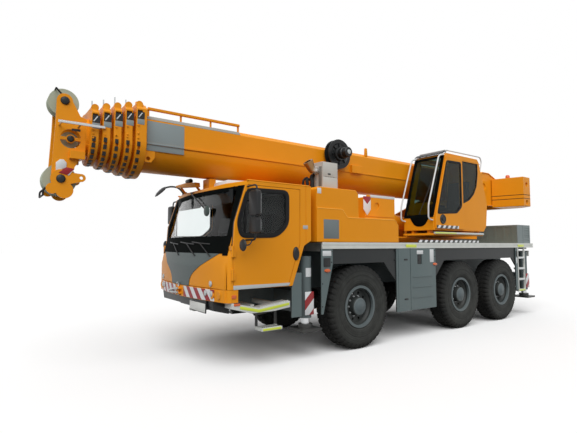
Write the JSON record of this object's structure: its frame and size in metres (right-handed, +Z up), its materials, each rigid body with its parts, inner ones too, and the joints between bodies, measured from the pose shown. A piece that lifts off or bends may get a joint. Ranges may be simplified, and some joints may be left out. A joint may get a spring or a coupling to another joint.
{
  "type": "mobile crane",
  "caption": "Three-axle all-terrain mobile crane with a driver's cab, slewing crane cab, luffing telescopic boom and sliding outriggers.",
  "frame": {"origin": "middle of the overall box, on the ground", "axes": "+X to the front, +Y to the left, +Z up"},
  "size_m": [11.09, 3.2, 3.7648],
  "materials": {
    "yellow_paint": "gloss",
    "frame_grey": "satin",
    "skirt_grey": "satin",
    "box_grey": "satin",
    "exhaust_grey": "satin",
    "dark_iron": "matte",
    "aluminium": "brushed",
    "rod_steel": "polished",
    "glass": "clear",
    "interior_black": "matte",
    "black_plastic": "satin",
    "nylon": "satin",
    "tyre": "matte",
    "rim_grey": "satin"
  },
  "bodies": {
    "carrier": {"chassis_frame": "frame_grey", "axles": "dark_iron", "deck": "aluminium", "side_skirts": "skirt_grey", "engine_block": "dark_iron", "engine_housing": "yellow_paint", "exhaust": "exhaust_grey", "deck_boxes": "box_grey", "driver_cab": "yellow_paint", "cab_glazing": "glass", "cab_interior": "interior_black", "front_bumper": "yellow_paint"},
    "knuckle_front_left": {"knuckle_front_left": "dark_iron"},
    "wheel_front_left": {"tyre_front_left": "tyre", "rim_front_left": "rim_grey"},
    "knuckle_front_right": {"knuckle_front_right": "dark_iron"},
    "wheel_front_right": {"tyre_front_right": "tyre", "rim_front_right": "rim_grey"},
    "knuckle_middle_left": {"knuckle_middle_left": "dark_iron"},
    "wheel_middle_left": {"tyre_middle_left": "tyre", "rim_middle_left": "rim_grey"},
    "knuckle_middle_right": {"knuckle_middle_right": "dark_iron"},
    "wheel_middle_right": {"tyre_middle_right": "tyre", "rim_middle_right": "rim_grey"},
    "knuckle_rear_left": {"knuckle_rear_left": "dark_iron"},
    "wheel_rear_left": {"tyre_rear_left": "tyre", "rim_rear_left": "rim_grey"},
    "knuckle_rear_right": {"knuckle_rear_right": "dark_iron"},
    "wheel_rear_right": {"tyre_rear_right": "tyre", "rim_rear_right": "rim_grey"},
    "door_left": {"door_left": "yellow_paint", "mirror_left": "black_plastic"},
    "door_right": {"door_right": "yellow_paint", "mirror_right": "black_plastic"},
    "beam_front_left": {"beam_front_left": "frame_grey"},
    "jack_front_left": {"jack_front_left": "rod_steel"},
    "beam_front_right": {"beam_front_right": "frame_grey"},
    "jack_front_right": {"jack_front_right": "rod_steel"},
    "beam_rear_left": {"beam_rear_left": "frame_grey"},
    "jack_rear_left": {"jack_rear_left": "rod_steel"},
    "beam_rear_right": {"beam_rear_right": "frame_grey"},
    "jack_rear_right": {"jack_rear_right": "rod_steel"},
    "superstructure": {"turntable": "yellow_paint", "counterweight": "yellow_paint", "winch": "dark_iron"},
    "crane_cab": {"crane_cab": "yellow_paint", "crane_cab_glazing": "glass", "crane_cab_interior": "interior_black"},
    "crane_door": {"crane_door": "yellow_paint"},
    "boom_base": {"boom_base": "yellow_paint", "cable_drum": "black_plastic"},
    "boom_section_1": {"boom_section_1": "yellow_paint"},
    "boom_section_2": {"boom_section_2": "yellow_paint"},
    "boom_section_3": {"boom_section_3": "yellow_paint"},
    "boom_section_4": {"boom_section_4": "yellow_paint"},
    "boom_section_5": {"boom_section_5": "yellow_paint", "head_sheaves": "nylon"},
    "luff_barrel": {"luff_barrel": "yellow_paint"},
    "luff_rod": {"luff_rod": "rod_steel"}
  },
  "joints": [
    {"name": "steer_front_left", "type": "hinge", "parent": "carrier", "child": "knuckle_front_left", "pos_m": [1.015, 0.9825, 0.685], "axis": [0, 0, 1], "range_deg": [-30, 30]},
    {"name": "roll_front_left", "type": "hinge", "parent": "knuckle_front_left", "child": "wheel_front_left", "pos_m": [1.015, 1.0825, 0.685], "axis": [0, 1, 0], "continuous": true},
    {"name": "steer_front_right", "type": "hinge", "parent": "carrier", "child": "knuckle_front_right", "pos_m": [1.015, -0.9825, 0.685], "axis": [0, 0, 1], "range_deg": [-30, 30]},
    {"name": "roll_front_right", "type": "hinge", "parent": "knuckle_front_right", "child": "wheel_front_right", "pos_m": [1.015, -1.0825, 0.685], "axis": [0, 1, 0], "continuous": true},
    {"name": "steer_middle_left", "type": "hinge", "parent": "carrier", "child": "knuckle_middle_left", "pos_m": [-1.935, 0.9825, 0.685], "axis": [0, 0, 1], "range_deg": [-30, 30]},
    {"name": "roll_middle_left", "type": "hinge", "parent": "knuckle_middle_left", "child": "wheel_middle_left", "pos_m": [-1.935, 1.0825, 0.685], "axis": [0, 1, 0], "continuous": true},
    {"name": "steer_middle_right", "type": "hinge", "parent": "carrier", "child": "knuckle_middle_right", "pos_m": [-1.935, -0.9825, 0.685], "axis": [0, 0, 1], "range_deg": [-30, 30]},
    {"name": "roll_middle_right", "type": "hinge", "parent": "knuckle_middle_right", "child": "wheel_middle_right", "pos_m": [-1.935, -1.0825, 0.685], "axis": [0, 1, 0], "continuous": true},
    {"name": "steer_rear_left", "type": "hinge", "parent": "carrier", "child": "knuckle_rear_left", "pos_m": [-3.585, 0.9825, 0.685], "axis": [0, 0, 1], "range_deg": [-30, 30]},
    {"name": "roll_rear_left", "type": "hinge", "parent": "knuckle_rear_left", "child": "wheel_rear_left", "pos_m": [-3.585, 1.0825, 0.685], "axis": [0, 1, 0], "continuous": true},
    {"name": "steer_rear_right", "type": "hinge", "parent": "carrier", "child": "knuckle_rear_right", "pos_m": [-3.585, -0.9825, 0.685], "axis": [0, 0, 1], "range_deg": [-30, 30]},
    {"name": "roll_rear_right", "type": "hinge", "parent": "knuckle_rear_right", "child": "wheel_rear_right", "pos_m": [-3.585, -1.0825, 0.685], "axis": [0, 1, 0], "continuous": true},
    {"name": "door_left_swing", "type": "hinge", "parent": "carrier", "child": "door_left", "pos_m": [3.43, 1.268, 1.5], "axis": [0, 0, -1], "range_deg": [0, 70]},
    {"name": "door_right_swing", "type": "hinge", "parent": "carrier", "child": "door_right", "pos_m": [3.43, -1.268, 1.5], "axis": [0, 0, 1], "range_deg": [0, 70]},
    {"name": "beam_front_left_slide", "type": "slide", "parent": "carrier", "child": "beam_front_left", "axis": [0, 1, 0], "range_m": [0, 1.6]},
    {"name": "jack_front_left_slide", "type": "slide", "parent": "beam_front_left", "child": "jack_front_left", "axis": [0, 0, -1], "range_m": [0, 0.55]},
    {"name": "beam_front_right_slide", "type": "slide", "parent": "carrier", "child": "beam_front_right", "axis": [0, -1, 0], "range_m": [0, 1.6]},
    {"name": "jack_front_right_slide", "type": "slide", "parent": "beam_front_right", "child": "jack_front_right", "axis": [0, 0, -1], "range_m": [0, 0.55]},
    {"name": "beam_rear_left_slide", "type": "slide", "parent": "carrier", "child": "beam_rear_left", "axis": [0, 1, 0], "range_m": [0, 1.6]},
    {"name": "jack_rear_left_slide", "type": "slide", "parent": "beam_rear_left", "child": "jack_rear_left", "axis": [0, 0, -1], "range_m": [0, 0.55]},
    {"name": "beam_rear_right_slide", "type": "slide", "parent": "carrier", "child": "beam_rear_right", "axis": [0, -1, 0], "range_m": [0, 1.6]},
    {"name": "jack_rear_right_slide", "type": "slide", "parent": "beam_rear_right", "child": "jack_rear_right", "axis": [0, 0, -1], "range_m": [0, 0.55]},
    {"name": "slew", "type": "hinge", "parent": "carrier", "child": "superstructure", "pos_m": [-2.235, 0, 1.76], "axis": [0, 0, 1], "continuous": true},
    {"name": "crane_cab_tilt", "type": "hinge", "parent": "superstructure", "child": "crane_cab", "pos_m": [-2.93, 0.83, 1.975], "axis": [0, -1, 0], "range_deg": [0, 20]},
    {"name": "crane_door_slide", "type": "slide", "parent": "crane_cab", "child": "crane_door", "axis": [-1, 0, 0], "range_m": [0, 0.75]},
    {"name": "luff", "type": "hinge", "parent": "superstructure", "child": "boom_base", "pos_m": [-4.4, 0, 3.22], "axis": [0, -1, 0], "range_deg": [0, 82]},
    {"name": "telescope_1", "type": "slide", "parent": "boom_base", "child": "boom_section_1", "axis": [1, 0, 0], "range_m": [0, 5.96]},
    {"name": "telescope_2", "type": "slide", "parent": "boom_section_1", "child": "boom_section_2", "axis": [1, 0, 0], "range_m": [0, 5.96]},
    {"name": "telescope_3", "type": "slide", "parent": "boom_section_2", "child": "boom_section_3", "axis": [1, 0, 0], "range_m": [0, 5.96]},
    {"name": "telescope_4", "type": "slide", "parent": "boom_section_3", "child": "boom_section_4", "axis": [1, 0, 0], "range_m": [0, 5.96]},
    {"name": "telescope_5", "type": "slide", "parent": "boom_section_4", "child": "boom_section_5", "axis": [1, 0, 0], "range_m": [0, 5.96]},
    {"name": "luff_barrel_swing", "type": "hinge", "parent": "superstructure", "child": "luff_barrel", "pos_m": [-2.685, 0, 2.05], "axis": [0, -1, 0], "range_deg": [0, 84.9]},
    {"name": "luff_rod_slide", "type": "slide", "parent": "luff_barrel", "child": "luff_rod", "axis": [0.9909, 0, 0.1347], "range_m": [0, 2.72]}
  ],
  "couplings": [
    {"joint": "steer_front_right", "follows": "steer_front_left", "ratio": 1},
    {"joint": "steer_middle_right", "follows": "steer_middle_left", "ratio": 1},
    {"joint": "steer_rear_right", "follows": "steer_rear_left", "ratio": 1},
    {"joint": "telescope_2", "follows": "telescope_1", "ratio": 1},
    {"joint": "telescope_3", "follows": "telescope_1", "ratio": 1},
    {"joint": "telescope_4", "follows": "telescope_1", "ratio": 1},
    {"joint": "telescope_5", "follows": "telescope_1", "ratio": 1},
    {"joint": "luff_barrel_swing", "follows": "luff", "ratio": 1.0347},
    {"joint": "luff_rod_slide", "follows": "luff", "m_per_rad": 1.8951}
  ]
}
